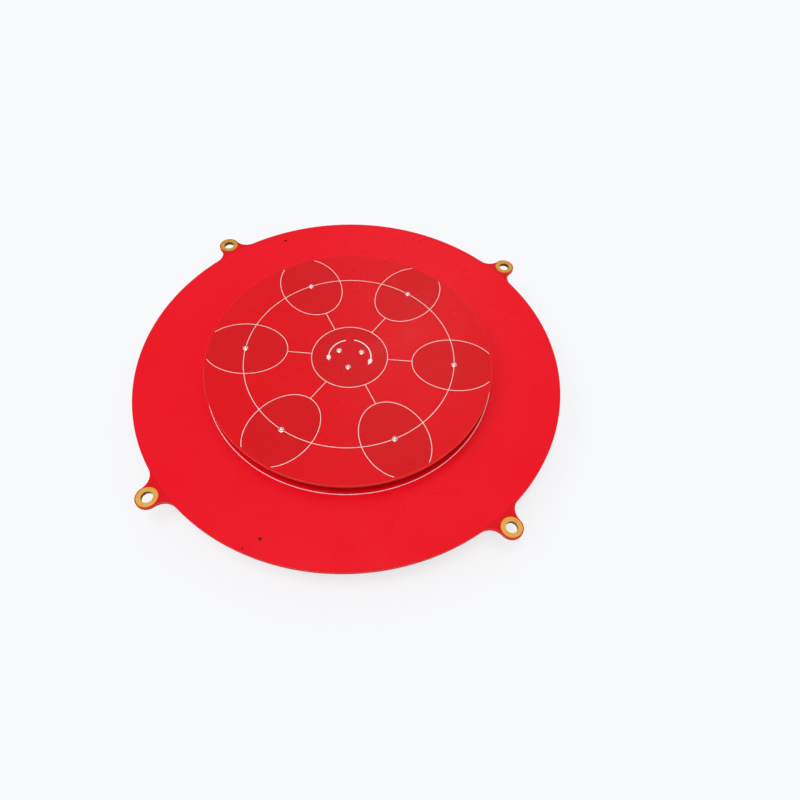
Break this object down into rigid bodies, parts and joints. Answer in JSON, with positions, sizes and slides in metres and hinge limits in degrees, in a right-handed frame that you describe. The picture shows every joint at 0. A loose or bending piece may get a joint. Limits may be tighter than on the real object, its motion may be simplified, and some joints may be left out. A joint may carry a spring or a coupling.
{
  "type": "flat panel antenna",
  "caption": "Flat round panel antenna of two stacked red circuit boards held apart on thin pins, with four mounting ears and a coaxial jack behind.",
  "frame": {"origin": "centre of the square of mounting holes, on the rear face of the reflector board", "axes": "+Z out of the front, from the reflector board to the radiator board; +X to the right seen from the front with +Y up; the coaxial jack points to -Z"},
  "size_m": [0.12, 0.12, 0.016],
  "materials": {
    "board_laminate": "glossy solder mask over glass-epoxy laminate",
    "masked_copper": "copper foil under glossy solder mask",
    "legend_ink": "printed white ink",
    "gold_plating": "gold plating",
    "gold_plated_brass": "turned and gold plated",
    "insulator_white": "white fluoropolymer",
    "solder": "bright solder",
    "tinned_wire": "tinned wire"
  },
  "bodies": {
    "root": {"contact_solder": "solder", "feed_line": "masked_copper", "feed_pin_1": "tinned_wire", "feed_pin_2": "tinned_wire", "feed_pin_3": "tinned_wire", "feed_solder_front": "solder", "feed_solder_rear": "solder", "ground_plane": "masked_copper", "jack_body": "gold_plated_brass", "jack_contact": "gold_plated_brass", "jack_insulator": "insulator_white", "leg_solder": "solder", "mount_ring_front_left": "gold_plating", "mount_ring_front_right": "gold_plating", "mount_ring_rear_left": "gold_plating", "mount_ring_rear_right": "gold_plating", "patch_foil": "masked_copper", "radiator_board": "board_laminate", "radiator_legend": "legend_ink", "reflector_board": "board_laminate", "reflector_legend": "legend_ink", "support_pin_1": "tinned_wire", "support_pin_2": "tinned_wire", "support_pin_3": "tinned_wire", "support_pin_4": "tinned_wire", "support_pin_5": "tinned_wire", "support_pin_6": "tinned_wire", "support_solder_front": "solder", "support_solder_rear": "solder"}
  },
  "joints": []
}
